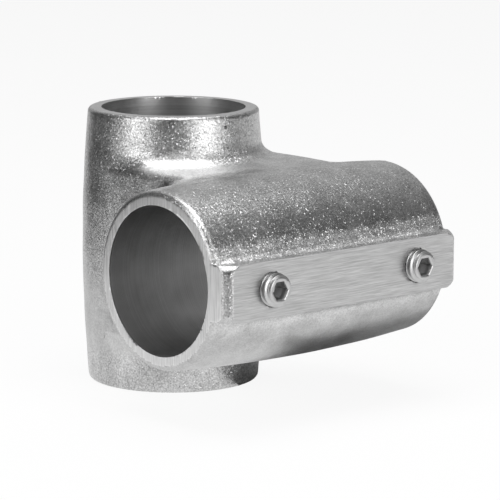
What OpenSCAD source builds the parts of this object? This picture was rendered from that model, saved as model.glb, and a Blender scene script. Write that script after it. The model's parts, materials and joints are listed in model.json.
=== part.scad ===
// Cross tube clamp fitting: two open sleeves cast in one piece, at right angles and offset,
// each with a milled pad and two hexagon socket set screws that clamp the tube inside it.
// The post sleeve stands along Z, the rail sleeve lies along X in front of it.
// Origin: on the post bore's axis, halfway up the post sleeve. Units: millimetres.

/* [Tubes and bores] */
// Outside diameter of the tubes that the fitting clamps
tube_d = 48.3; // [42.4:0.1:52]
// Gap all round between a tube and its bore
bore_clearance = 0.6; // [0.3:0.05:1]
// Metal left between the two bores where they pass each other
web_between_bores = 3.5; // [3:0.1:8]

/* [Sleeves] */
// Length of the upright sleeve
post_sleeve_length = 94.4; // [86:0.1:120]
// Length of the level sleeve
rail_sleeve_length = 103.6; // [94:0.1:130]
// Wall of a sleeve at its middle, where it is thickest
wall_middle = 6.65; // [6:0.05:9]
// Wall of a sleeve at its ends
wall_end = 4.55; // [4.2:0.05:5.5]
// Rounding of the upright sleeve's rims
post_rim_round = 1.4; // [0.5:0.1:2.6]
// Rounding of the level sleeve's rims
rail_rim_round = 1.3; // [0.5:0.1:2.6]
// Metal that facing takes off each end of the level sleeve's pad
rail_facing_cut = 0.5; // [0.2:0.05:1]
// How far the upright sleeve's pad stays back from its rims
post_pad_setback = 0.6; // [0.3:0.05:1.2]

/* [Web between the sleeves] */
// How far the web stays below the sleeves' thickest part
web_setback = 0.5; // [0.4:0.05:1]
// Rounding of the web's four long edges
web_edge_round = 6; // [6:0.5:14]
// Radius of the fillet between the web and each sleeve
web_fillet = 5; // [4.5:0.5:7]

/* [Pads] */
// Height of the milled pad face above a sleeve's thickest part
pad_rise = 2.6; // [1.6:0.1:4]
// Width of the milled face
pad_face_width = 18.6; // [15:0.1:24]
// Rounding of the pad's long cast corners
pad_corner_round = 1; // [0.7:0.05:2]
// How deep the mill has cut into those rounded corners
pad_mill_depth = 0.5; // [0.2:0.05:0.6]
// Fillet between the pad's sides and the sleeve
pad_side_fillet = 4.5; // [2:0.1:6]
// Rounding of the pad's two ends, from its face down to the sleeve's rim
pad_end_round = 5.5; // [4:0.1:7]
// Rounding of the four tips of a pad, looking at them halfway between its face and its end
pad_tip_round = 4; // [2:0.1:6]

/* [Set screws] */
// Outside diameter of a set screw
screw_d = 11.11; // [8:0.01:12]
// Length of a set screw
screw_length = 12.7; // [11:0.1:18]
// Size of the hexagon socket across its flats
socket_across_flats = 5.56; // [4:0.01:6]
// Depth of the hexagon socket
socket_depth = 6; // [4:0.1:7]
// Chamfer at both ends of a set screw
screw_chamfer = 1.2; // [0.5:0.05:1.5]
// Diameter of the hollow in the clamping end
cup_d = 6; // [4:0.1:6.5]
// Depth of that hollow
cup_depth = 1.6; // [0.5:0.1:2]
// Distance of a set screw from the end of its sleeve
screw_from_end = 19.4; // [14:0.1:26]
// How far a released screw's tip stays outside the bore
screw_tip_gap = 0.3; // [0.2:0.05:1]
// Gap all round between a screw and its hole
screw_clearance = 0.05; // [0.03:0.01:0.1]
// Chamfer at the mouth of a screw hole
hole_chamfer = 0.6; // [0.2:0.05:1]

/* [Hidden] */
$fn = 96;

// Radii and distances that follow from the driving sizes
bore_r = tube_d / 2 + bore_clearance;
axis_offset = 2 * bore_r + web_between_bores;
middle_r = bore_r + wall_middle;
end_r = bore_r + wall_end;
web_half = middle_r - web_setback;
pad_face_r = middle_r + pad_rise;
hole_r = screw_d / 2 + screw_clearance;
socket_corner_r = socket_across_flats / 2 / cos(30);
// The sockets are turned so that two corners lie along the sleeve
socket_turn = 30;

// The cast corner of the pad, before the mill takes the top off it
pad_corner_r = pad_face_r + pad_mill_depth - pad_corner_round;
pad_corner_u = pad_face_width / 2
    - sqrt(pow(pad_corner_round, 2) - pow(pad_corner_round - pad_mill_depth, 2));
pad_side_u = pad_corner_u + pad_corner_round;

// The pad's tips are rounded across this angle, halfway between its face and its end
tip_angle = 45;
// Their outline starts this far outside the pad, so that it cuts across the pad's faces
tip_clear = 0.2;

// Fillets start a little under the surfaces that they join
fillet_bite = 0.15;
// A fillet's root lies this far past its corner, as a multiple of its radius
fillet_root = 1.2;
// The pad's fillets die away over this length, and stop just short of the sleeve's rims
pad_fillet_fade = 5;
pad_fillet_stop = 1.5;

// Number of flats that stand for each curved run
crown_steps = 14;
arc_steps = 6;
corner_steps = 8;
top_steps = 14;
pad_steps = 18;

// Cuts run past the faces that they open by this much
overrun = 1;

// Radius of the circle that a sleeve's crowned outline follows
function crown_r(length) =
    (pow(length / 2, 2) + pow(middle_r - end_r, 2)) / (2 * (middle_r - end_r));

// Outer radius of a sleeve at a distance from its middle
function sleeve_r(length, along) =
    middle_r - crown_r(length) + sqrt(pow(crown_r(length), 2) - along * along);

// Heights of the points along a sleeve's crowned outline
function crown_places(length) =
    [for (i = [0 : crown_steps]) length * (i / crown_steps - 0.5)];

// The web's outline over one end of a sleeve: angle of its normal, then place across and along the sleeve
function web_outline() =
    let (
        edge = web_edge_round - fillet_bite,
        side = web_half - web_edge_round
    )
    concat(
        [for (i = [0 : corner_steps])
            let (a = 90 * i / corner_steps) [a, side + edge * cos(a), side + edge * sin(a)]],
        [for (i = [1 : top_steps - 1])
            [90, side - 2 * side * i / top_steps, side + edge]],
        [for (i = [0 : corner_steps])
            let (a = 90 + 90 * i / corner_steps) [a, -side + edge * cos(a), side + edge * sin(a)]]
    );

// One slice of the fillet: an arc from the web round to the sleeve, closed inside both
function fillet_slice(length, station) =
    let (
        across = station[1] + web_fillet * cos(station[0]),
        along = station[2] + web_fillet * sin(station[0]),
        contact_r = sleeve_r(length, along) - fillet_bite,
        reach = contact_r + web_fillet,
        depth = -sqrt(max(reach * reach - across * across, 0)),
        centre = [across, depth, along],
        to_web = [-cos(station[0]), 0, -sin(station[0])],
        to_sleeve = [-across, -depth, 0] / reach,
        arc = [for (j = [0 : arc_steps])
            let (mix = to_web * (arc_steps - j) + to_sleeve * j)
                centre + web_fillet * mix / norm(mix)]
    )
    concat(arc, [centre + web_fillet * fillet_root * (to_web + to_sleeve)]);

// Radius of the pad's fillet, no larger than the pad's side wall allows
function pad_fillet_r(foot_r, wall_u) =
    min(
        pad_side_fillet,
        max(
            2 * fillet_bite,
            (pow(pad_corner_r, 2) - foot_r * foot_r + wall_u * wall_u) / (2 * (foot_r - wall_u))
        )
    );

// One slice of the fillet from the pad's side wall down to the sleeve, closed inside both
function pad_fillet_slice(length, along) =
    let (
        foot_r = sleeve_r(length, along) - fillet_bite,
        wall_u = pad_side_u - fillet_bite,
        fade = min(1, (length / 2 - pad_fillet_stop - abs(along)) / pad_fillet_fade),
        fillet = max(2 * fillet_bite, fade * pad_fillet_r(foot_r, wall_u)),
        centre_u = wall_u + fillet,
        centre_v = sqrt(pow(foot_r + fillet, 2) - centre_u * centre_u),
        centre = [centre_u, centre_v, along],
        to_wall = [-1, 0, 0],
        to_sleeve = [-centre_u, -centre_v, 0] / (foot_r + fillet),
        arc = [for (j = [0 : arc_steps])
            let (mix = to_wall * (arc_steps - j) + to_sleeve * j)
                centre + fillet * mix / norm(mix)]
    )
    concat(arc, [centre + fillet * fillet_root * (to_wall + to_sleeve)]);

// Crowned sleeve along local Z with rounded rims
module sleeve(length, rim_round) {
    rotate_extrude() {
        intersection() {
            polygon(concat(
                [[0, -length / 2]],
                [for (along = crown_places(length)) [sleeve_r(length, along), along]],
                [[0, length / 2]]
            ));
            union() {
                translate([0, -length / 2 + rim_round])
                    square([middle_r, length - 2 * rim_round]);
                translate([0, -length / 2])
                    square([end_r - rim_round, length]);
                for (side = [-1, 1])
                    translate([end_r - rim_round, side * (length / 2 - rim_round)])
                        circle(r = rim_round);
            }
        }
    }
}

// Solid skinned over a row of fillet slices
module skinned(slices) {
    row = len(slices[0]);
    last = len(slices) - 1;
    polyhedron(
        points = [for (slice = slices) each slice],
        faces = concat(
            [[for (j = [0 : row - 1]) j]],
            [[for (j = [row - 1 : -1 : 0]) last * row + j]],
            [for (i = [0 : last - 1]) for (j = [0 : row - 1])
                [i * row + j, (i + 1) * row + j, i * row + (j + 1) % row]],
            [for (i = [0 : last - 1]) for (j = [0 : row - 1])
                [(i + 1) * row + j, (i + 1) * row + (j + 1) % row, i * row + (j + 1) % row]]
        )
    );
}

// Fillet between the web and the upper half of a sleeve's front
module web_to_sleeve_fillet(length) {
    skinned([for (station = web_outline()) fillet_slice(length, station)]);
}

// Fillet between one side wall of a pad and the sleeve
module pad_to_sleeve_fillet(length) {
    reach = length / 2 - pad_fillet_stop;
    skinned([for (i = [0 : pad_steps]) pad_fillet_slice(length, reach * cos(180 * i / pad_steps))]);
}

// Rounded square block that carries one sleeve on the other
module web() {
    side = web_half - web_edge_round;
    rotate([90, 0, 0])
        linear_extrude(axis_offset) {
            square([2 * web_half, 2 * side], center = true);
            square([2 * side, 2 * web_half], center = true);
            for (x = [-side, side], y = [-side, side])
                translate([x, y])
                    circle(r = web_edge_round);
        }
}

// Section of a pad: width across, height from the sleeve's axis
module pad_section() {
    intersection() {
        union() {
            translate([-pad_side_u, 0])
                square([2 * pad_side_u, pad_corner_r]);
            translate([-pad_corner_u, 0])
                square([2 * pad_corner_u, pad_face_r]);
            for (side = [-1, 1])
                translate([side * pad_corner_u, pad_corner_r])
                    circle(r = pad_corner_round);
        }
        translate([-pad_side_u, 0])
            square([2 * pad_side_u, pad_face_r]);
    }
}

// Side view of a pad with its rounded ends: place along the sleeve, height from its axis
module pad_profile(cast_length) {
    cast_top = pad_face_r + pad_mill_depth;
    translate([-cast_length / 2, 0])
        square([cast_length, cast_top - pad_end_round]);
    translate([-cast_length / 2 + pad_end_round, 0])
        square([cast_length - 2 * pad_end_round, cast_top]);
    for (side = [-1, 1])
        translate([side * (cast_length / 2 - pad_end_round), cast_top - pad_end_round])
            circle(r = pad_end_round);
}

// Outline of a pad's end, looking at it halfway between the pad's face and its end
module pad_tip_outline(cast_length) {
    round_height = pad_face_r + pad_mill_depth - pad_end_round;
    end = (round_height + cast_length / 2 - pad_end_round) * sin(tip_angle) + pad_end_round;
    top = end + tip_clear;
    half_width = pad_side_u + tip_clear;
    translate([-half_width, -cast_length])
        square([2 * half_width, cast_length + top - pad_tip_round]);
    translate([pad_tip_round - half_width, 0])
        square([2 * (half_width - pad_tip_round), top]);
    for (side = [-1, 1])
        translate([side * (half_width - pad_tip_round), top - pad_tip_round])
            circle(r = pad_tip_round);
}

// Pad along the outside of a sleeve, on local +Y: cast with rounded ends, then milled and faced.
// past_rim is how far it is cast past the sleeve's rims.
module pad(length, past_rim) {
    cast_length = length + 2 * past_rim;
    intersection() {
        linear_extrude(length, center = true)
            pad_section();
        rotate([0, -90, 0])
            linear_extrude(2 * (pad_side_u + overrun), center = true)
                pad_profile(cast_length);
        rotate([tip_angle, 0, 0])
            linear_extrude(2 * cast_length, center = true)
                pad_tip_outline(cast_length);
        rotate([-tip_angle, 0, 0])
            linear_extrude(2 * cast_length, center = true)
                pad_tip_outline(cast_length);
    }
}

// Outer form of one sleeve with its pad and its fillets to the web
module sleeve_with_pad(length, rim_round, past_rim) {
    sleeve(length, rim_round);
    pad(length, past_rim);
    for (side = [0, 1]) {
        mirror([0, 0, side])
            web_to_sleeve_fillet(length);
        mirror([side, 0, 0])
            pad_to_sleeve_fillet(length);
    }
}

// Turns what is made for the post sleeve to the rail sleeve: Z to X, and back to front
module on_rail() {
    translate([0, -axis_offset, 0])
        rotate(180, [1, 0, 1])
            children();
}

// Distance of a screw from the middle of its sleeve
function screw_place(length) = length / 2 - screw_from_end;

// Everything that is drilled out of one sleeve
module sleeve_cuts(length) {
    cylinder(r = bore_r, h = length + 2 * overrun, center = true);
    for (side = [-1, 1])
        translate([0, 0, side * screw_place(length)])
            rotate([-90, 0, 0]) {
                cylinder(r = hole_r, h = pad_face_r + overrun);
                translate([0, 0, pad_face_r - hole_chamfer])
                    cylinder(
                        r1 = hole_r,
                        r2 = hole_r + hole_chamfer + overrun,
                        h = hole_chamfer + overrun
                    );
            }
}

// Set screw pointing at the sleeve's axis from local +Y, with its tip just outside the bore
module set_screw(length, side) {
    body_r = screw_d / 2;
    face_r = body_r - screw_chamfer;
    translate([0, bore_r + screw_tip_gap, side * screw_place(length)])
        rotate([-90, 0, 0])
            difference() {
                rotate_extrude()
                    polygon([
                        [0, cup_depth],
                        [cup_d / 2, 0],
                        [face_r, 0],
                        [body_r, screw_chamfer],
                        [body_r, screw_length - screw_chamfer],
                        [face_r, screw_length],
                        [0, screw_length]
                    ]);
                translate([0, 0, screw_length - socket_depth])
                    rotate(socket_turn)
                        cylinder(r = socket_corner_r, h = socket_depth + overrun, $fn = 6);
            }
}

module casting() {
    color("darkgray")
        difference() {
            union() {
                web();
                sleeve_with_pad(post_sleeve_length, post_rim_round, -post_pad_setback);
                on_rail()
                    sleeve_with_pad(rail_sleeve_length, rail_rim_round, rail_facing_cut);
            }
            sleeve_cuts(post_sleeve_length);
            on_rail()
                sleeve_cuts(rail_sleeve_length);
        }
}

module rail_set_screw_left() {
    color("silver")
        on_rail()
            set_screw(rail_sleeve_length, -1);
}

module rail_set_screw_right() {
    color("silver")
        on_rail()
            set_screw(rail_sleeve_length, 1);
}

module post_set_screw_upper() {
    color("silver")
        set_screw(post_sleeve_length, 1);
}

module post_set_screw_lower() {
    color("silver")
        set_screw(post_sleeve_length, -1);
}

casting();
rail_set_screw_left();
rail_set_screw_right();
post_set_screw_upper();
post_set_screw_lower();
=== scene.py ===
"""Looks of the cross tube clamp fitting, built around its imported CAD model.

The casting's skin is a distance field with the CAD model's sizes: crowned sleeves, web, pads, cast
fillets, a parting line, a pit and machined cuts, turned into a mesh by dual contouring. The set
screws are threaded meshes. Shapes are in millimetres and are scaled to metres when their meshes are
made. Materials and the stage are in metres.
"""

import json
import math

import bpy
import numpy as np
from mathutils import Matrix, Vector


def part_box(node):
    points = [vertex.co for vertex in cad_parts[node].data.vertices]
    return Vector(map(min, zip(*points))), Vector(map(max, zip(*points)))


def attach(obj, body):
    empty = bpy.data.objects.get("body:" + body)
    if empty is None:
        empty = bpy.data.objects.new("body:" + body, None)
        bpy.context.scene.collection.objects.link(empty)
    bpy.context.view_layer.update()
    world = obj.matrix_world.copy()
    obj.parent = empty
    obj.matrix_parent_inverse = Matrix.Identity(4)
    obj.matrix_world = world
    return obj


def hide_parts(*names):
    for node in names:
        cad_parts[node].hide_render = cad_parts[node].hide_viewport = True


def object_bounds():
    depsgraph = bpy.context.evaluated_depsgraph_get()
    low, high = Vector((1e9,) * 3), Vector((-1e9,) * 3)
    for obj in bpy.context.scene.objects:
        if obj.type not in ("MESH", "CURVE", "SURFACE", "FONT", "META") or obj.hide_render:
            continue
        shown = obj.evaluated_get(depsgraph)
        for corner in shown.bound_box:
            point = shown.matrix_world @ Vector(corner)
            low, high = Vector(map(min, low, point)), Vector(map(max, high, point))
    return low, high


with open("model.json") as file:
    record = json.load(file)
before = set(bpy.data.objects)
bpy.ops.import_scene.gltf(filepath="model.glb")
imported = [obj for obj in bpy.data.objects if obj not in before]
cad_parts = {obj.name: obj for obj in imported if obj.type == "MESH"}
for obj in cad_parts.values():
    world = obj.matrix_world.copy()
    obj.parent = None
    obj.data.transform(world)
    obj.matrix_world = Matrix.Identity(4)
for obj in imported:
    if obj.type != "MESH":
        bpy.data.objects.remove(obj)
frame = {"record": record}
cad_low, cad_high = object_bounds()

MM = 0.001
SIN_45 = math.sqrt(0.5)
X_AXIS, Y_AXIS, Z_AXIS = range(3)


def screw_place(node):
    """Middle and half size of a screw's CAD box, in millimetres."""
    low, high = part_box(node)
    return (low + high) / 2 / MM, (high - low) / 2 / MM


# Sizes that come with the frame
mounts = {mount["name"]: mount for mount in frame["record"]["mounts"]}
BORE_R = mounts["post_bore"]["dims"]["r_mm"]
POST_HALF = mounts["post_bore"]["dims"]["length_mm"] / 2
RAIL_HALF = mounts["rail_bore"]["dims"]["length_mm"] / 2
AXIS_OFFSET = -mounts["rail_bore"]["pos_m"][1] / MM
PAD_FACE_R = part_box("casting")[1].y / MM
RAIL_SCREW_PLACE = screw_place("rail_set_screw_right")[0].x
POST_SCREW_PLACE = screw_place("post_set_screw_upper")[0].z
SCREW_R = screw_place("rail_set_screw_right")[1].x

# Cast forms
WALL_MIDDLE = 6.65
WALL_END = 4.55
MIDDLE_R = BORE_R + WALL_MIDDLE
END_R = BORE_R + WALL_END
POST_RIM_ROUND = 1.4
RAIL_RIM_ROUND = 2.0
RAIL_FACING_CUT = 0.5
POST_PAD_SETBACK = 0.6
WEB_SETBACK = 0.5
WEB_HALF = MIDDLE_R - WEB_SETBACK
WEB_EDGE_ROUND = 3.5
WEB_FILLET = 5.0
PAD_FACE_HALF = 9.3
PAD_CORNER_ROUND = 1.0
PAD_MILL_DEPTH = 0.5
PAD_SIDE_FILLET = 4.5
PAD_FILLET_LEAST = 0.3
PAD_FILLET_FADE = 5.0
PAD_FILLET_FADED = 0.05
PAD_FILLET_STOP = 1.5
PAD_END_ROUND = 5.5
PAD_TIP_ROUND = 4.0
PAD_TIP_CLEAR = 0.2
PAD_TOP_R = PAD_FACE_R + PAD_MILL_DEPTH
PAD_CORNER_R = PAD_TOP_R - PAD_CORNER_ROUND
PAD_SIDE_U = PAD_FACE_HALF + PAD_CORNER_ROUND - math.sqrt(
    PAD_CORNER_ROUND**2 - (PAD_CORNER_ROUND - PAD_MILL_DEPTH) ** 2
)

# Machined edges and holes
EDGE_BREAK = 0.25
HOLE_CLEARANCE = 0.05
HOLE_R = SCREW_R + HOLE_CLEARANCE
HOLE_CHAMFER = 0.3

# Unevenness that the casting has
WAVE_HEIGHT = 0.05
WAVE_LENGTHS = (11.0, 27.0)
WAVE_COUNT = 7
WAVE_SEED = 4
WAVE_FADE = 2.5
PARTING_HEIGHT = 0.11
PARTING_HALF_WIDTH = 0.55
PIT_X = -2.2
PIT_Z = 43.2
PIT_R = 0.6
PIT_BOTTOM_Y = -28.0

# Mesh of the casting
CELL = 0.66
GRID_MARGIN = 2.0
SLAB = 12
ROOT_STEPS = 4
KEEP_NEAR_MASS = 0.04
TRIANGLES = 190000
GRADIENT_STEP = 0.02
TETRAHEDRON = np.array(((1, 1, 1), (1, -1, -1), (-1, 1, -1), (-1, -1, 1)), float)
CREASE_ANGLE = math.radians(32)
INTO_FACE = 0.3
NO_TRIANGLES = np.empty((0, 3), int)

# Guards against dividing by zero
TINY = 1e-6
AXIS_GUARD = 1e-9
NORM_LEAST = 1e-12

# Finishes of the casting's faces, in the order of its materials
CAST, RAIL_PAD, POST_PAD, RAIL_BORE, POST_BORE_AND_ENDS, RAIL_ENDS = range(6)
FINISH_REACH = 0.04

# Set screws
SCREW_PITCH = 25.4 / 14
THREAD_DEPTH = 0.6134 * SCREW_PITCH
THREAD_INSET = 0.02
THREAD_CREST_TO = 0.125
THREAD_ROOT_FROM = 0.75
THREAD_BLEND = 0.25
SCREW_CHAMFER = 1.2
SCREW_SECTORS = 160
SCREW_STEP = 0.06
SCREW_SHARP_ANGLE = math.radians(48)
FACE_RINGS = (0.5, 1.0)
SOCKET_FLATS = 5.56
SOCKET_MOUTH = 0.3
SOCKET_DEPTH = 6.0
SOCKET_DRILL = 0.8
CUP_D = 6.0
CUP_DEPTH = 1.6

# Noise in the materials: what most of it spans, and its waves a metre
NOISE_SPAN = (0.3, 0.7)
SPECKLE = {"scale": 2400, "detail": 2.0, "roughness": 0.6}
DOTS = {"scale": 1700, "detail": 1.0, "roughness": 0.5}
PATCHES = {"scale": 95, "detail": 5.0, "roughness": 0.65}
WOBBLE = {"scale": 420, "detail": 2.0, "roughness": 0.6}
MILLED_LINES = {"scale": 45, "detail": 3.0, "roughness": 0.6}
MILLED_SCRATCHES = {"scale": 45, "detail": 2.0, "roughness": 0.5}
TURNED_LINES = {"scale": 3200, "detail": 2.0, "roughness": 0.6}
TURNED_PATCHES = {"scale": 130, "detail": 2.0, "roughness": 0.5}
PLATED_FINE = {"scale": 2600, "detail": 2.0, "roughness": 0.6}
PLATED_PATCHES = {"scale": 420, "detail": 2.0, "roughness": 0.5}

# Where the cast metal changes: each pair runs from none to full, in metres
PAD_STRIP_INNER = (0.0092, 0.0100)
PAD_STRIP_OUTER = (0.0165, 0.0125)
AT_RAIL_PAD_Y = (-0.075, -0.078)
AT_POST_PAD_Y = (0.022, 0.025)
WEB_FLAT_INNER = (0.0275, 0.0305)
WEB_FLAT_OUTER = (0.0335, 0.0315)
WEB_FRONT_Y = (-0.049, -0.043)
WEB_BACK_Y = (-0.014, -0.022)
COLLAR_FOOT_INNER = (0.0312, 0.0325)
COLLAR_FOOT_OUTER = (0.0375, 0.0345)
COLLAR_FOOT_R = (0.0365, 0.0345)
COLLAR_FOOT_Y = (-0.018, -0.024)
UPPER_GRAIN_Z = (-0.016, -0.004)
LOWER_GRAIN_Z = (-0.033, -0.037)

# Cast metal's look, with painted highlights on the web's top and in the hollows
GRAIN_RANGE = (0.4, 1)
WEB_HIGHLIGHT_X = (-0.014, 0.004)
WEB_HIGHLIGHT_RANGE = (1, 0.15)
WOBBLE_SPAN = (0.35, 0.65)
WOBBLE_RANGE = (-0.25, 0.25)
HOLLOW_EDGE = (0.3, 0.9)
CAST_TONE = (0.43, 0.63)
DOTS_TONE = (-0.15, 0.15)
# Painted highlight added to the tone of the web's flat top and of the hollows
WEB_PAINTED_HIGHLIGHT = 0.38
HOLLOW_PAINTED_HIGHLIGHT = 0.11
CAST_ROUGHNESS = (0.31, 0.37)
WEB_UNPOLISHED = 1.6
UNPOLISHED_ROUGHER = 0.12
TUMBLED_TILT = (0.2, 0.26)
HOLLOW_TILT = 0.2
GLINT_SCALE = 2900
GLINT_CHANCE = (0.6, 1.0)
GLINT_TILT = (0.4, 3.2)
SPECKLE_HEIGHT = 0.0001
SPECKLE_STRENGTH = 0.7

# Looks of the machined and plated metal
PAD_TONE = 0.53
RAIL_END_TONE = 0.7
MILLED_ALONG = 2.5
MILLED_ACROSS = 60.0
SCRATCH_STRETCH = 0.5
SCRATCH_TONE = (0.9, 1.1)
MILLED_LINE_TONE = (-0.10, 0.10)
MILLED_HEIGHT = 0.00006
TURNED_TONE = (0.55, 0.63)
TURNED_LINE_TONE = (-0.07, 0.07)
TURNED_HEIGHT = 0.00005
CUT_ROUGHNESS = (0.3, 0.42)
CUT_STRENGTH = 0.5
PLATED_TONE = (0.5, 0.58)
PLATED_ROUGHNESS = (0.34, 0.44)
PLATED_HEIGHT = 0.00003
PLATED_STRENGTH = 0.4

# Camera, as fitted to the photograph's 500 x 500 frame
IMAGE_WIDTH = 500
CAMERA_AZIMUTH = -40.36
CAMERA_ELEVATION = 10.06
CAMERA_DISTANCE = 1.0874
FOCAL_PIXELS = 3142.6
SENSOR_WIDTH = 36.0
AIM_RIGHT = 0.02645
AIM_UP = -0.00296

# Room, floor and cards, in metres and degrees
MIDDLE = Vector((0, -AXIS_OFFSET / 2 * MM, 0))
FLOOR_SIZE = 12
FLOOR_NOISE = 3
FLOOR_TONE = (0.9, 0.92)
FLOOR_SPECULAR = 0.1
FLOOR_WHITE = 0.9
CARD_LIFT = 0.0002
CARD_NOISE = 2
CARD_UNEVENNESS = (0.8, 1.2)
MATT_ROUGHNESS = 0.9
PALE_AZIMUTH = 140
PALE_ELEVATION = 15
PALE_SPAN = (0.3, 0.95)
ROOM_TONE = (0.06, 0.52)


# Distance fields: negative inside, in millimetres
def rounded_cut(a, b, radius):
    """What is inside both a and b, with the edge between them rounded."""
    outside = np.hypot(np.maximum(a + radius, 0), np.maximum(b + radius, 0))
    return np.minimum(np.maximum(a, b) + radius, 0) + outside - radius


def filleted_join(a, b, facing, radius):
    """What is inside a or b, with a rolling-ball fillet. facing is the cosine between normals."""
    reach = np.maximum(radius * (1 - facing), TINY)
    inside = np.hypot(np.maximum(reach - a, 0), np.maximum(reach - b, 0))
    return np.maximum(reach, np.minimum(a, b)) - inside


def corner_normal(u, v):
    """A rounded corner's normal: its parts along u and v, and its length."""
    normal_u = np.where(u > v, np.maximum(u, TINY), np.maximum(u, 0))
    normal_v = np.where(u > v, np.maximum(v, 0), np.maximum(v, TINY))
    return normal_u, normal_v, np.hypot(normal_u, normal_v)


def pad_fillet_radius(foot_r, from_end):
    """The pad's fillet: no larger than its side wall allows, and dying away towards the rims."""
    allowed = (PAD_CORNER_R**2 - foot_r**2 + PAD_SIDE_U**2) / (2 * (foot_r - PAD_SIDE_U))
    fading = np.clip((from_end - PAD_FILLET_STOP) / PAD_FILLET_FADE, PAD_FILLET_FADED, 1)
    return np.clip(allowed, PAD_FILLET_LEAST, PAD_SIDE_FILLET) * fading


def pad_field(wide, out, along, cast_half):
    """A cast pad: straight sides, rounded ends, and tips rounded across 45 degrees."""
    ends = rounded_cut(along - cast_half, out - PAD_TOP_R, PAD_END_ROUND)
    top = (PAD_TOP_R + cast_half - 2 * PAD_END_ROUND) * SIN_45 + PAD_END_ROUND + PAD_TIP_CLEAR
    tip_side = wide - PAD_SIDE_U - PAD_TIP_CLEAR
    tips = rounded_cut(tip_side, (out + along) * SIN_45 - top, PAD_TIP_ROUND)
    return np.maximum.reduce([wide - PAD_FACE_HALF, ends, tips, -out])


def sleeve_field(across, out, along, half, rim_round, past_rim):
    """A crowned sleeve with its pad on the +out side."""
    radial = np.hypot(across, out) + AXIS_GUARD
    outer = MIDDLE_R - (MIDDLE_R - END_R) * (along / half) ** 2
    wide = np.abs(across)
    from_middle = np.abs(along)
    pad = pad_field(wide, out, from_middle, half + past_rim)
    normal_u, normal_v, length = corner_normal(
        wide - (PAD_SIDE_U - PAD_CORNER_ROUND), out - PAD_CORNER_R
    )
    joined = filleted_join(
        rounded_cut(radial - outer, from_middle - half, rim_round),
        rounded_cut(pad, from_middle - half, EDGE_BREAK),
        (normal_u * wide + normal_v * out) / (length * radial),
        pad_fillet_radius(outer, half - from_middle),
    )
    return np.maximum(joined, from_middle - half)


def web_field(x, y, z):
    """The rounded square block between the sleeves, and its normal's parts along X and Z."""
    corner = WEB_HALF - WEB_EDGE_ROUND
    qx = np.abs(x) - corner
    qz = np.abs(z) - corner
    flat = np.minimum(np.maximum(qx, qz), 0)
    section = np.hypot(np.maximum(qx, 0), np.maximum(qz, 0)) + flat - WEB_EDGE_ROUND
    block = np.maximum(section, np.maximum(y, -AXIS_OFFSET - y))
    normal_x, normal_z, length = corner_normal(qx, qz)
    return block, normal_x / length, normal_z / length


def make_waves():
    """Wave vectors and phases of the cast surface's slow waves."""
    draw = np.random.default_rng(WAVE_SEED)
    directions = draw.normal(size=(WAVE_COUNT, 3))
    directions /= np.linalg.norm(directions, axis=1)[:, None]
    numbers = 2 * np.pi / draw.uniform(*WAVE_LENGTHS, WAVE_COUNT)
    return directions * numbers[:, None], draw.uniform(0, 2 * np.pi, WAVE_COUNT)


WAVES, WAVE_PHASES = make_waves()


def unevenness(x, y, z):
    """Slow waves and the rail sleeve's parting line, faded out towards the sleeves' ends."""
    waves = sum(
        np.sin(k[0] * x + k[1] * y + k[2] * z + phase) for k, phase in zip(WAVES, WAVE_PHASES)
    )
    rail_line = np.exp(-(((y + AXIS_OFFSET) / PARTING_HALF_WIDTH) ** 2)) * (np.abs(z) > BORE_R)
    rail_fade = np.clip((RAIL_HALF - np.abs(x)) / WAVE_FADE, 0, 1)
    post_fade = np.clip((POST_HALF - np.abs(z)) / WAVE_FADE, 0, 1)
    height = WAVE_HEIGHT * waves / math.sqrt(WAVE_COUNT) + PARTING_HEIGHT * rail_line
    return rail_fade * post_fade * height


def screw_hole(across, out, along, place):
    """A screw hole through a pad, with its mouth chamfered."""
    drilled = np.hypot(across, along - place) - HOLE_R
    countersunk = (drilled - (out - PAD_FACE_R + HOLE_CHAMFER)) * SIN_45
    return np.maximum(np.minimum(drilled, countersunk), -out)


def casting_field(x, y, z):
    """The whole casting: cast outside, then the machined cuts."""
    rail_out = -(y + AXIS_OFFSET)
    post = sleeve_field(x, y, z, POST_HALF, POST_RIM_ROUND, -POST_PAD_SETBACK)
    rail = sleeve_field(z, rail_out, x, RAIL_HALF, RAIL_RIM_ROUND, RAIL_FACING_CUT)
    web, web_x, web_z = web_field(x, y, z)
    post_radial = np.hypot(x, y) + AXIS_GUARD
    rail_radial = np.hypot(z, rail_out) + AXIS_GUARD
    body = filleted_join(web, post, web_x * np.abs(x) / post_radial, WEB_FILLET)
    body = filleted_join(body, rail, web_z * np.abs(z) / rail_radial, WEB_FILLET)
    body = body - unevenness(x, y, z)
    pit = np.maximum(np.hypot(x - PIT_X, z - PIT_Z) - PIT_R, y - PIT_BOTTOM_Y)
    body = np.maximum(body, -pit)
    for out in (y, rail_out):
        body = np.maximum(body, out - PAD_FACE_R)
    body = np.maximum.reduce([body, BORE_R - post_radial, BORE_R - rail_radial])
    for side in (-1, 1):
        body = np.maximum(body, -screw_hole(x, y, z, side * POST_SCREW_PLACE))
        body = np.maximum(body, -screw_hole(z, rail_out, x, side * RAIL_SCREW_PLACE))
    return body


def gradient(field, points):
    """Unit normals of a field at points."""
    total = np.zeros_like(points)
    for offset in TETRAHEDRON:
        total += offset * field(*(points + GRADIENT_STEP * offset).T)[:, None]
    return total / np.maximum(np.linalg.norm(total, axis=1), NORM_LEAST)[:, None]


# Dual contouring
def grid_values(field, axes):
    """The field at every grid point, a few layers at a time."""
    values = np.empty([len(a) for a in axes], np.float32)
    for start in range(0, len(axes[0]), SLAB):
        layer = np.meshgrid(axes[0][start:start + SLAB], axes[1], axes[2], indexing="ij")
        values[start:start + SLAB] = field(*layer)
    return values


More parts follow.
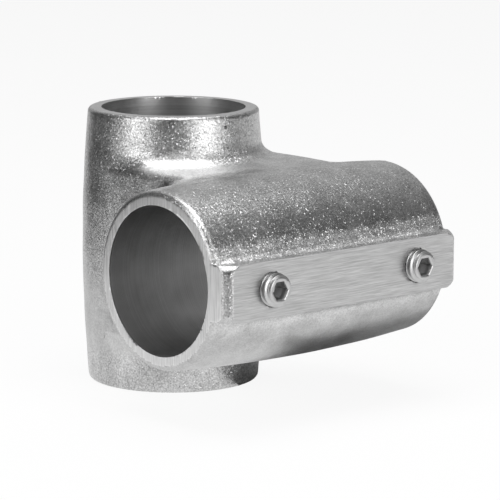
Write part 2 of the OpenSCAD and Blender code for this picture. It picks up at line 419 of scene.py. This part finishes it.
def edge_crossings(field, values, low, cell, axis):
    """Crossings of the grid's edges along one axis: index, point, whether the start is inside."""
    inside = values < 0
    count = values.shape[axis]
    crossing = inside.take(range(count - 1), axis) != inside.take(range(1, count), axis)
    index = np.argwhere(crossing)
    ahead = index.copy()
    ahead[:, axis] += 1
    f0 = values[tuple(index.T)].astype(float)
    f1 = values[tuple(ahead.T)].astype(float)
    starts_inside = f0 < 0
    t0 = np.zeros(len(index))
    t1 = np.ones(len(index))
    start = low + cell * index
    for _ in range(ROOT_STEPS):
        t = t0 + (t1 - t0) * f0 / (f0 - f1)
        points = start.copy()
        points[:, axis] += cell * t
        f = field(*points.T)
        same = (f < 0) == starts_inside
        t0 = np.where(same, t, t0)
        f0 = np.where(same, f, f0)
        t1 = np.where(same, t1, t)
        f1 = np.where(same, f1, f)
    return index, points, starts_inside


def cells_round_edges(index, axis, starts_inside):
    """The four cells round each crossed edge, in the order that faces outwards."""
    steps = np.zeros((4, 3), int)
    steps[[0, 3], (axis + 1) % 3] = -1
    steps[[0, 1], (axis + 2) % 3] = -1
    cells = index[:, None, :] + steps
    return np.where(starts_inside[:, None, None], cells, cells[:, ::-1])


def fit_vertices(points, normals, owner, count, low_corner, cell):
    """One vertex a cell, where the planes of its crossings meet, so that sharp edges stay sharp."""
    def total(weights):
        return np.bincount(owner, weights, count)

    hits = total(np.ones(len(owner)))
    mass = np.stack([total(points[:, i]) / hits for i in range(3)], 1)
    reach = np.einsum("ij,ij->i", normals, points - mass[owner])
    square = np.empty((count, 3, 3))
    right = np.empty((count, 3))
    for i in range(3):
        right[:, i] = total(normals[:, i] * reach)
        for j in range(3):
            square[:, i, j] = total(normals[:, i] * normals[:, j])
    square += KEEP_NEAR_MASS * np.eye(3)
    moved = mass + np.linalg.solve(square, right[:, :, None])[:, :, 0]
    return np.clip(moved, low_corner, low_corner + cell)


def contour(field, low, high, cell):
    """Vertices and outward quads of the field's zero surface."""
    axes = [np.arange(low[a], high[a] + cell, cell) for a in range(3)]
    values = grid_values(field, axes)
    shape = [n - 1 for n in values.shape]
    all_points, all_cells = [], []
    for axis in range(3):
        index, points, starts_inside = edge_crossings(field, values, low, cell, axis)
        cells = cells_round_edges(index, axis, starts_inside)
        all_points.append(points)
        all_cells.append(np.ravel_multi_index(tuple(np.moveaxis(cells, 2, 0)), shape))
    points = np.concatenate(all_points)
    used, quads = np.unique(np.concatenate(all_cells), return_inverse=True)
    quads = quads.reshape(-1, 4)
    normals = gradient(field, points)
    low_corner = low + cell * np.stack(np.unravel_index(used, shape), 1)
    vertices = fit_vertices(
        np.repeat(points, 4, 0),
        np.repeat(normals, 4, 0),
        quads.ravel(),
        len(used),
        low_corner,
        cell,
    )
    return vertices, quads


# Meshes
def mesh_object(name, vertices, quads, triangles=NO_TRIANGLES):
    """A new object from vertices in millimetres, quads and triangles."""
    corners = np.concatenate([quads.ravel(), triangles.ravel()]).astype(np.int32)
    quad_starts = np.arange(0, quads.size, 4)
    triangle_starts = quads.size + np.arange(0, triangles.size, 3)
    starts = np.concatenate([quad_starts, triangle_starts])
    mesh = bpy.data.meshes.new(name)
    mesh.vertices.add(len(vertices))
    place_vertices(mesh, vertices)
    mesh.loops.add(len(corners))
    mesh.loops.foreach_set("vertex_index", corners)
    mesh.polygons.add(len(starts))
    mesh.polygons.foreach_set("loop_start", starts.astype(np.int32))
    mesh.update(calc_edges=True)
    mesh.validate()
    made = bpy.data.objects.new(name, mesh)
    bpy.context.scene.collection.objects.link(made)
    return made


def place_vertices(mesh, vertices):
    """Sets a mesh's vertices, given in millimetres."""
    mesh.vertices.foreach_set("co", (vertices * MM).astype(np.float32).ravel())


def reduced(made, triangles):
    """The same object with about that many triangles, fewest where it is flattest."""
    now = 2 * len(made.data.polygons)
    if now > triangles:
        modifier = made.modifiers.new("reduce", "DECIMATE")
        modifier.ratio = triangles / now
        evaluated = made.evaluated_get(bpy.context.evaluated_depsgraph_get())
        mesh = bpy.data.meshes.new_from_object(evaluated)
        made.modifiers.clear()
        made.data = mesh
    return made


def read(elements, attribute, width, kind=np.float32):
    """An attribute of a mesh's elements, one row each."""
    values = np.empty(width * len(elements), kind)
    elements.foreach_get(attribute, values)
    return values.reshape(-1, width)


def vertices_of(mesh):
    """A mesh's vertices in millimetres."""
    return read(mesh.vertices, "co", 3).astype(float) / MM


def face_centres(mesh):
    """The middles of a mesh's faces in millimetres."""
    return read(mesh.polygons, "center", 3) / MM


def field_normals(mesh, field):
    """Shades a mesh with the field's own normals, and keeps its creases sharp."""
    vertices = vertices_of(mesh)
    loops = read(mesh.loops, "vertex_index", 1, np.int32)[:, 0]
    sizes = read(mesh.polygons, "loop_total", 1, np.int32)[:, 0]
    owners = np.repeat(np.arange(len(sizes)), sizes)
    faces = read(mesh.polygons, "normal", 3)[owners]
    normals = gradient(field, vertices)[loops]

    def off_faces():
        return np.einsum("ij,ij->i", normals, faces) < math.cos(CREASE_ANGLE)

    creased = off_faces()
    middles = face_centres(mesh)[owners[creased]]
    inner = vertices[loops[creased]] * (1 - INTO_FACE) + middles * INTO_FACE
    normals[creased] = gradient(field, inner)
    still_off = off_faces()
    normals[still_off] = faces[still_off]
    mesh.polygons.foreach_set("use_smooth", np.ones(len(mesh.polygons), bool))
    mesh.normals_split_custom_set(normals)


# Materials
def new_material(name):
    """A material, its node tree and its main shader."""
    material = bpy.data.materials.new(name)
    material.use_nodes = True
    tree = material.node_tree
    return material, tree, tree.nodes["Principled BSDF"]


def object_coordinates(tree, scale=(1, 1, 1)):
    """Coordinates in metres in the part's frame, stretched by scale."""
    source = tree.nodes.new("ShaderNodeTexCoord")
    mapping = tree.nodes.new("ShaderNodeMapping")
    mapping.inputs["Scale"].default_value = scale
    tree.links.new(source.outputs["Object"], mapping.inputs["Vector"])
    return mapping.outputs["Vector"]


def separated(tree, vector):
    """The three parts of a vector."""
    split = tree.nodes.new("ShaderNodeSeparateXYZ")
    tree.links.new(vector, split.inputs["Vector"])
    return list(split.outputs)


def noise(tree, vector, scale, detail=2.0, roughness=0.5):
    """Noise with that many waves a metre."""
    made = tree.nodes.new("ShaderNodeTexNoise")
    made.inputs["Scale"].default_value = scale
    made.inputs["Detail"].default_value = detail
    made.inputs["Roughness"].default_value = roughness
    tree.links.new(vector, made.inputs["Vector"])
    return made.outputs["Fac"]


def ranged(tree, value, span, to=(0, 1)):
    """A value's span, mapped to another one."""
    made = tree.nodes.new("ShaderNodeMapRange")
    for name, number in zip(("From Min", "From Max", "To Min", "To Max"), (*span, *to)):
        made.inputs[name].default_value = number
    tree.links.new(value, made.inputs["Value"])
    return made.outputs["Result"]


def calculated(tree, operation, first, second=0.0):
    """One operation on two values, each a socket or a number."""
    made = tree.nodes.new("ShaderNodeMath")
    made.operation = operation
    for socket, value in zip(made.inputs, (first, second)):
        if isinstance(value, (int, float)):
            socket.default_value = value
        else:
            tree.links.new(value, socket)
    return made.outputs["Value"]


def product(tree, first, *others):
    """All the values multiplied."""
    for other in others:
        first = calculated(tree, "MULTIPLY", first, other)
    return first


def axis_distance(tree, parts, along, centre=(0.0, 0.0, 0.0)):
    """Distance from an axis through centre."""
    squares = 0.0
    for axis in range(3):
        if axis != along:
            offset = calculated(tree, "SUBTRACT", parts[axis], centre[axis])
            squares = calculated(tree, "ADD", product(tree, offset, offset), squares)
    return calculated(tree, "SQRT", squares)


def vector_math(tree, operation, vector):
    """A vector operation's node, with its first vector joined."""
    made = tree.nodes.new("ShaderNodeVectorMath")
    made.operation = operation
    tree.links.new(vector, made.inputs[0])
    return made


def grey(tree, value):
    """A grey colour from a value."""
    made = tree.nodes.new("ShaderNodeCombineColor")
    for socket in made.inputs[:3]:
        tree.links.new(value, socket)
    return made.outputs["Color"]


def bump(tree, height, distance, strength, under=None):
    """Bump of that height in metres, over another one's normals."""
    made = tree.nodes.new("ShaderNodeBump")
    made.inputs["Distance"].default_value = distance
    made.inputs["Strength"].default_value = strength
    tree.links.new(height, made.inputs["Height"])
    if under is not None:
        tree.links.new(under, made.inputs["Normal"])
    return made.outputs["Normal"]


def join_metal(tree, shader, tone, rough, normal):
    """Makes a shader metal with that tone, roughness and normal."""
    shader.inputs["Metallic"].default_value = 1.0
    tree.links.new(grey(tree, tone), shader.inputs["Base Color"])
    tree.links.new(rough, shader.inputs["Roughness"])
    tree.links.new(normal, shader.inputs["Normal"])


def glints(tree, vector, tilt):
    """Normals tilted at random from grain to grain, a few of them far, as on a tumbled surface."""
    grains = tree.nodes.new("ShaderNodeTexVoronoi")
    grains.inputs["Scale"].default_value = GLINT_SCALE
    tree.links.new(vector, grains.inputs["Vector"])
    chance = tree.nodes.new("ShaderNodeTexWhiteNoise")
    tree.links.new(grains.outputs["Position"], chance.inputs["Vector"])
    tilt = product(tree, tilt, ranged(tree, chance.outputs["Value"], GLINT_CHANCE, GLINT_TILT))
    centred = vector_math(tree, "SUBTRACT", grains.outputs["Color"])
    centred.inputs[1].default_value = (0.5, 0.5, 0.5)
    tilted = vector_math(tree, "SCALE", centred.outputs["Vector"])
    tree.links.new(tilt, tilted.inputs["Scale"])
    surface = tree.nodes.new("ShaderNodeNewGeometry")
    total = vector_math(tree, "ADD", surface.outputs["Normal"])
    tree.links.new(tilted.outputs["Vector"], total.inputs[1])
    return vector_math(tree, "NORMALIZE", total.outputs["Vector"]).outputs["Vector"]


def pad_strip(tree, across, near):
    """1 along both sides of a pad, where near is 1."""
    wide = calculated(tree, "ABSOLUTE", across)
    inner = ranged(tree, wide, PAD_STRIP_INNER)
    outer = ranged(tree, wide, PAD_STRIP_OUTER)
    return product(tree, inner, outer, near)


def hollow_masks(tree, parts):
    """1 in the hollows that tumbling doesn't reach and up to 1 on the web's flats; both get painted
    highlight.
    """
    x, y, z = parts
    beside_rail_pad = pad_strip(tree, z, ranged(tree, y, AT_RAIL_PAD_Y))
    beside_post_pad = pad_strip(tree, x, ranged(tree, y, AT_POST_PAD_Y))
    high = calculated(tree, "ABSOLUTE", z)
    web_flats_and_highlight = product(
        tree,
        ranged(tree, y, WEB_FRONT_Y),
        ranged(tree, high, WEB_FLAT_INNER),
        ranged(tree, high, WEB_FLAT_OUTER),
        ranged(tree, y, WEB_BACK_Y),
        ranged(tree, x, WEB_HIGHLIGHT_X, WEB_HIGHLIGHT_RANGE),
    )
    collar_foot = product(
        tree,
        ranged(tree, high, COLLAR_FOOT_INNER),
        ranged(tree, high, COLLAR_FOOT_OUTER),
        ranged(tree, axis_distance(tree, parts, Z_AXIS), COLLAR_FOOT_R),
        ranged(tree, y, COLLAR_FOOT_Y),
    )
    hollows = calculated(tree, "MAXIMUM", beside_rail_pad, beside_post_pad)
    return calculated(tree, "MAXIMUM", hollows, collar_foot), web_flats_and_highlight


def cast_metal():
    """Tumbled cast metal: glinting speckle over a soft uneven sheen, painted highlight in the
    hollows and on the web.
    """
    material, tree, shader = new_material("cast_metal")
    place = object_coordinates(tree)
    parts = separated(tree, place)
    patches = noise(tree, place, **PATCHES)
    wobble = ranged(tree, noise(tree, place, **WOBBLE), WOBBLE_SPAN, WOBBLE_RANGE)
    hollows, web_flats_and_highlight = hollow_masks(tree, parts)
    hollow = ranged(tree, calculated(tree, "ADD", hollows, wobble), HOLLOW_EDGE)
    upper_grain = ranged(tree, parts[Z_AXIS], UPPER_GRAIN_Z, GRAIN_RANGE)
    lower_grain = ranged(tree, parts[Z_AXIS], LOWER_GRAIN_Z, GRAIN_RANGE)
    grain = calculated(tree, "MAXIMUM", upper_grain, lower_grain)
    dots = product(tree, grain, ranged(tree, noise(tree, place, **DOTS), NOISE_SPAN, DOTS_TONE))
    # Painted highlight: the web's flat top, fading towards +X, and the hollows are made paler.
    paler = calculated(
        tree, "ADD", product(tree, web_flats_and_highlight, WEB_PAINTED_HIGHLIGHT), product(tree, hollow, HOLLOW_PAINTED_HIGHLIGHT)
    )
    base = calculated(tree, "ADD", dots, ranged(tree, patches, NOISE_SPAN, CAST_TONE))
    tone = calculated(tree, "ADD", paler, base)
    unpolished = calculated(tree, "MAXIMUM", hollow, product(tree, web_flats_and_highlight, WEB_UNPOLISHED))
    rough = calculated(
        tree,
        "ADD",
        ranged(tree, patches, NOISE_SPAN, CAST_ROUGHNESS),
        product(tree, unpolished, UNPOLISHED_ROUGHER),
    )
    tumbled = ranged(tree, patches, NOISE_SPAN, TUMBLED_TILT)
    tilt = calculated(tree, "ADD", tumbled, product(tree, hollow, HOLLOW_TILT))
    facets = glints(tree, place, product(tree, grain, tilt))
    speckle = noise(tree, place, **SPECKLE)
    normal = bump(tree, speckle, SPECKLE_HEIGHT, SPECKLE_STRENGTH, facets)
    join_metal(tree, shader, tone, rough, normal)
    return material


def milled_metal(name, along, shade):
    """Milled flat with fine lines along one axis."""
    material, tree, shader = new_material(name)
    stretch = [MILLED_ALONG if axis == along else MILLED_ACROSS for axis in range(3)]
    wider = [SCRATCH_STRETCH * s for s in stretch]
    lines = noise(tree, object_coordinates(tree, stretch), **MILLED_LINES)
    scratches = noise(tree, object_coordinates(tree, wider), **MILLED_SCRATCHES)
    tone = calculated(
        tree,
        "ADD",
        ranged(tree, lines, NOISE_SPAN, MILLED_LINE_TONE),
        ranged(tree, scratches, NOISE_SPAN, [level * shade for level in SCRATCH_TONE]),
    )
    rough = ranged(tree, scratches, NOISE_SPAN, CUT_ROUGHNESS)
    join_metal(tree, shader, tone, rough, bump(tree, lines, MILLED_HEIGHT, CUT_STRENGTH))
    return material


def turned_metal(name, along, centre):
    """Turned or bored metal: rings round an axis through centre, and along it."""
    material, tree, shader = new_material(name)
    place = object_coordinates(tree)
    parts = separated(tree, place)
    pair = tree.nodes.new("ShaderNodeCombineXYZ")
    tree.links.new(axis_distance(tree, parts, along, centre), pair.inputs[0])
    tree.links.new(parts[along], pair.inputs[1])
    lines = noise(tree, pair.outputs["Vector"], **TURNED_LINES)
    patches = noise(tree, place, **TURNED_PATCHES)
    tone = calculated(
        tree,
        "ADD",
        ranged(tree, lines, NOISE_SPAN, TURNED_LINE_TONE),
        ranged(tree, patches, NOISE_SPAN, TURNED_TONE),
    )
    rough = ranged(tree, lines, NOISE_SPAN, CUT_ROUGHNESS)
    join_metal(tree, shader, tone, rough, bump(tree, lines, TURNED_HEIGHT, CUT_STRENGTH))
    return material


def plated_steel():
    """Plated steel of the set screws."""
    material, tree, shader = new_material("plated_steel")
    place = object_coordinates(tree)
    fine = noise(tree, place, **PLATED_FINE)
    patches = noise(tree, place, **PLATED_PATCHES)
    tone = ranged(tree, patches, NOISE_SPAN, PLATED_TONE)
    rough = ranged(tree, fine, NOISE_SPAN, PLATED_ROUGHNESS)
    join_metal(tree, shader, tone, rough, bump(tree, fine, PLATED_HEIGHT, PLATED_STRENGTH))
    return material


# Casting
def finish_of_faces(centres):
    """Each face's finish, from where it lies."""
    x, y, z = centres.T
    rail_radial = np.hypot(z, y + AXIS_OFFSET)
    post_radial = np.hypot(x, y)
    post_ends = np.abs(z) > POST_HALF - FINISH_REACH
    finish = np.full(len(centres), CAST, np.int32)
    finish[y < FINISH_REACH - AXIS_OFFSET - PAD_FACE_R] = RAIL_PAD
    finish[y > PAD_FACE_R - FINISH_REACH] = POST_PAD
    finish[rail_radial < BORE_R + FINISH_REACH] = RAIL_BORE
    finish[(post_radial < BORE_R + FINISH_REACH) | post_ends] = POST_BORE_AND_ENDS
    finish[np.abs(x) > RAIL_HALF - FINISH_REACH] = RAIL_ENDS
    return finish


def build_casting():
    """The casting's skin, which stands for the CAD casting."""
    low = np.array(cad_low) / MM - GRID_MARGIN
    high = np.array(cad_high) / MM + GRID_MARGIN
    low[Y_AXIS] = -AXIS_OFFSET - PAD_FACE_R - GRID_MARGIN
    high[Y_AXIS] = PAD_FACE_R + GRID_MARGIN
    vertices, quads = contour(casting_field, low, high, CELL)
    made = reduced(mesh_object("cast_body", vertices, quads), TRIANGLES)
    mesh = made.data
    place_vertices(mesh, np.clip(vertices_of(mesh), low + GRID_MARGIN, high - GRID_MARGIN))
    mesh.update()
    rail_centre = (0.0, -AXIS_OFFSET * MM, 0.0)
    for material in (
        cast_metal(),
        milled_metal("milled_rail_pad", X_AXIS, PAD_TONE),
        milled_metal("milled_post_pad", Z_AXIS, PAD_TONE),
        turned_metal("turned_rail", X_AXIS, rail_centre),
        turned_metal("turned_post", Z_AXIS, (0.0, 0.0, 0.0)),
        milled_metal("ground_rail_ends", Z_AXIS, RAIL_END_TONE),
    ):
        mesh.materials.append(material)
    mesh.polygons.foreach_set("material_index", finish_of_faces(face_centres(mesh)))
    field_normals(mesh, casting_field)
    mesh.update()
    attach(made, "casting")
    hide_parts("casting")


# Set screws
def thread_radius(angle, height, crest_r):
    """Radius of a right-hand thread at an angle and a height."""
    turn = np.mod(height / SCREW_PITCH - angle / (2 * np.pi), 1.0)
    from_crest = np.abs(2 * turn - 1)
    flank = np.clip((THREAD_ROOT_FROM - from_crest) / (THREAD_ROOT_FROM - THREAD_CREST_TO), 0, 1)
    rounded = flank * flank * (3 - 2 * flank)
    return crest_r - THREAD_DEPTH * (1 - 0.5 * (flank + rounded))


def blended_least(a, b, width):
    """The smaller of a and b, rounded over where they meet."""
    near = np.clip(0.5 + 0.5 * (b - a) / width, 0, 1)
    return b * (1 - near) + a * near - width * near * (1 - near)


def all_round(value):
    """One value for every sector of a screw."""
    return np.full(SCREW_SECTORS, value)


def screw_rings(angle, length, radius):
    """Radii and heights of a set screw's rings, from its cup point's rim to its socket's bottom."""
    face_r = radius - SCREW_CHAMFER
    hexagon = SOCKET_FLATS / 2 / np.cos(np.mod(angle, np.pi / 3) - np.pi / 6)
    rings = [(all_round(CUP_D / 2), all_round(0.0))]
    for height in np.linspace(0, length, int(length / SCREW_STEP) + 1):
        thread = thread_radius(angle, height, radius - THREAD_INSET)
        chamfer = face_r + min(height, length - height)
        rings.append((blended_least(thread, chamfer, THREAD_BLEND), all_round(height)))
    for mix in FACE_RINGS:
        rings.append((face_r * (1 - mix) + (hexagon + SOCKET_MOUTH) * mix, all_round(length)))
    for depth in (SOCKET_MOUTH, SOCKET_DEPTH / 2, SOCKET_DEPTH):
        rings.append((hexagon, all_round(length - depth)))
    return rings


def screw_mesh(length, radius):
    """A set screw along +Z from its tip: vertices, quads, and the triangles that close its ends."""
    angle = 2 * np.pi * np.arange(SCREW_SECTORS) / SCREW_SECTORS
    rings = screw_rings(angle, length, radius)
    vertices = np.concatenate(
        [np.stack([r * np.cos(angle), r * np.sin(angle), h], 1) for r, h in rings]
        + [[[0, 0, CUP_DEPTH], [0, 0, length - SOCKET_DEPTH - SOCKET_DRILL]]]
    )
    row = np.arange(SCREW_SECTORS)
    after = (row + 1) % SCREW_SECTORS
    last = SCREW_SECTORS * (len(rings) - 1)
    quads = np.concatenate(
        [
            np.stack([row + i, after + i, after + i + SCREW_SECTORS, row + i + SCREW_SECTORS], 1)
            for i in range(0, last, SCREW_SECTORS)
        ]
    )
    cup_middle = last + SCREW_SECTORS
    cup = np.stack([after, row, all_round(cup_middle)], 1)
    bottom = np.stack([row + last, after + last, all_round(cup_middle + 1)], 1)
    return vertices, quads, np.concatenate([cup, bottom])


def build_screw(node, outward, material):
    """A threaded set screw in the place of its CAD node. outward is +1 or -1 along Y."""
    middle, half = screw_place(node)
    vertices, quads, triangles = screw_mesh(2 * half.y, half.x)
    first, second, up = vertices.T
    to_x, to_z = (second, first) if outward > 0 else (first, second)
    tip = middle.y - outward * half.y
    turned = np.stack([to_x + middle.x, tip + outward * up, to_z + middle.z], 1)
    made = mesh_object(node.replace("set_screw", "threaded_screw"), turned, quads, triangles)
    made.data.materials.append(material)
    made.data.shade_smooth()
    made.data.set_sharp_from_angle(angle=SCREW_SHARP_ANGLE)
    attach(made, node)
    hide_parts(node)


# Stage
def direction(azimuth, elevation):
    """Unit vector from the fitting, in degrees. Azimuth 0 is in front, at -Y, and 90 is at +X."""
    a, e = math.radians(azimuth), math.radians(elevation)
    return Vector((math.sin(a) * math.cos(e), -math.cos(a) * math.cos(e), math.sin(e)))


def face_fitting(made, back):
    """Turns a lamp or a card, which lies in direction back, towards the fitting."""
    made.rotation_mode = "QUATERNION"
    made.rotation_quaternion = back.to_track_quat("Z", "Y")


def build_floor():
    """A plain pale floor that reads as white paper, with the fitting's shadow on it."""
    bpy.ops.mesh.primitive_plane_add(size=FLOOR_SIZE, location=(0, 0, cad_low.z))
    floor = bpy.context.active_object
    floor.name = "floor"
    material, tree, shader = new_material("pale_floor")
    shade = noise(tree, object_coordinates(tree), FLOOR_NOISE)
    tone = grey(tree, ranged(tree, shade, NOISE_SPAN, FLOOR_TONE))
    tree.links.new(tone, shader.inputs["Base Color"])
    shader.inputs["Roughness"].default_value = MATT_ROUGHNESS
    shader.inputs["Specular IOR Level"].default_value = FLOOR_SPECULAR
    rays = tree.nodes.new("ShaderNodeLightPath")
    white = tree.nodes.new("ShaderNodeEmission")
    mix = tree.nodes.new("ShaderNodeMixShader")
    seen = rays.outputs["Is Camera Ray"]
    for kind in ("Is Glossy Ray", "Is Transmission Ray"):
        seen = calculated(tree, "MAXIMUM", seen, rays.outputs[kind])
    tree.links.new(product(tree, seen, FLOOR_WHITE), mix.inputs[0])
    tree.links.new(shader.outputs[0], mix.inputs[1])
    tree.links.new(white.outputs[0], mix.inputs[2])
    tree.links.new(mix.outputs[0], tree.nodes["Material Output"].inputs["Surface"])
    floor.data.materials.append(material)


def softbox(name, azimuth, elevation, distance, width, height, power):
    """A soft area lamp that looks at the fitting."""
    back = direction(azimuth, elevation)
    lamp = bpy.data.lights.new(name, "AREA")
    lamp.shape = "RECTANGLE"
    lamp.size = width
    lamp.size_y = height
    lamp.energy = power
    made = bpy.data.objects.new(name, lamp)
    made.location = MIDDLE + back * distance
    face_fitting(made, back)
    bpy.context.scene.collection.objects.link(made)


def card(name, width, height, shade):
    """A card that is seen only as a reflection in the metal."""
    bpy.ops.mesh.primitive_plane_add(size=1)
    made = bpy.context.active_object
    made.name = name
    made.scale = (width, height, 1)
    material, tree, shader = new_material(name)
    uneven = noise(tree, object_coordinates(tree), CARD_NOISE, detail=1.0)
    levels = [level * shade for level in CARD_UNEVENNESS]
    tone = grey(tree, ranged(tree, uneven, NOISE_SPAN, levels))
    tree.links.new(tone, shader.inputs["Base Color"])
    shader.inputs["Roughness"].default_value = MATT_ROUGHNESS
    made.data.materials.append(material)
    made.visible_camera = False
    made.visible_diffuse = False
    made.visible_shadow = False
    return made


def standing_card(name, azimuth, distance, width, height, shade):
    """A card that stands on the floor and faces the fitting."""
    made = card(name, width, height, shade)
    made.location = MIDDLE + direction(azimuth, 0) * distance
    made.location.z = cad_low.z + height / 2
    face_fitting(made, direction(azimuth, 0))


def lying_card(name, x, y, width, depth, shade):
    """A card that lies on the floor."""
    made = card(name, width, depth, shade)
    made.location = (x, y, cad_low.z + CARD_LIFT)


def build_world():
    """A dim room that is paler behind the fitting, on its right."""
    world = bpy.data.worlds.new("studio")
    bpy.context.scene.world = world
    world.use_nodes = True
    tree = world.node_tree
    source = tree.nodes.new("ShaderNodeTexCoord")
    towards = vector_math(tree, "DOT_PRODUCT", source.outputs["Generated"])
    towards.inputs[1].default_value = direction(PALE_AZIMUTH, PALE_ELEVATION)
    level = ranged(tree, towards.outputs["Value"], PALE_SPAN, ROOM_TONE)
    tree.links.new(grey(tree, level), tree.nodes["Background"].inputs["Color"])
    tree.nodes["Background"].inputs["Strength"].default_value = 1.0


def build_camera():
    """The photograph's viewpoint, turned about its own axes to frame the fitting."""
    back = direction(CAMERA_AZIMUTH, CAMERA_ELEVATION)
    right = direction(CAMERA_AZIMUTH + 90, 0)
    place = back * CAMERA_DISTANCE
    aim = right * AIM_RIGHT + back.cross(right) * AIM_UP
    back = (place - aim).normalized()
    right = (right - back * right.dot(back)).normalized()
    up = back.cross(right)
    data = bpy.data.cameras.new("camera")
    data.sensor_width = SENSOR_WIDTH
    data.lens = SENSOR_WIDTH * FOCAL_PIXELS / IMAGE_WIDTH
    camera = bpy.data.objects.new("camera", data)
    turn = Matrix((right, up, back)).transposed().to_4x4()
    camera.matrix_world = Matrix.Translation(place) @ turn
    bpy.context.scene.collection.objects.link(camera)
    bpy.context.scene.camera = camera


build_casting()
steel = plated_steel()
build_screw("rail_set_screw_left", -1, steel)
build_screw("rail_set_screw_right", -1, steel)
build_screw("post_set_screw_upper", 1, steel)
build_screw("post_set_screw_lower", 1, steel)
build_floor()
softbox("left_box", azimuth=-92, elevation=25, distance=1.0, width=0.42, height=0.9, power=4.0)
softbox("right_box", azimuth=2, elevation=16, distance=1.0, width=0.42, height=0.7, power=3.9)
softbox("top_box", azimuth=-40, elevation=87, distance=1.3, width=1.0, height=1.0, power=13)
standing_card("front_card", azimuth=-44, distance=0.3, width=0.28, height=0.3, shade=0.065)
standing_card("left_card", azimuth=-152, distance=0.3, width=0.33, height=0.3, shade=0.065)
# Painted shadow: a dark card under the fitting stands in for the floor's shade there, seen only in
# the metal's reflections.
lying_card("under_shadow_card", x=0.06, y=-0.02, width=0.11, depth=0.11, shade=0.3)
build_world()
build_camera()
bpy.context.scene.view_settings.view_transform = "Standard"
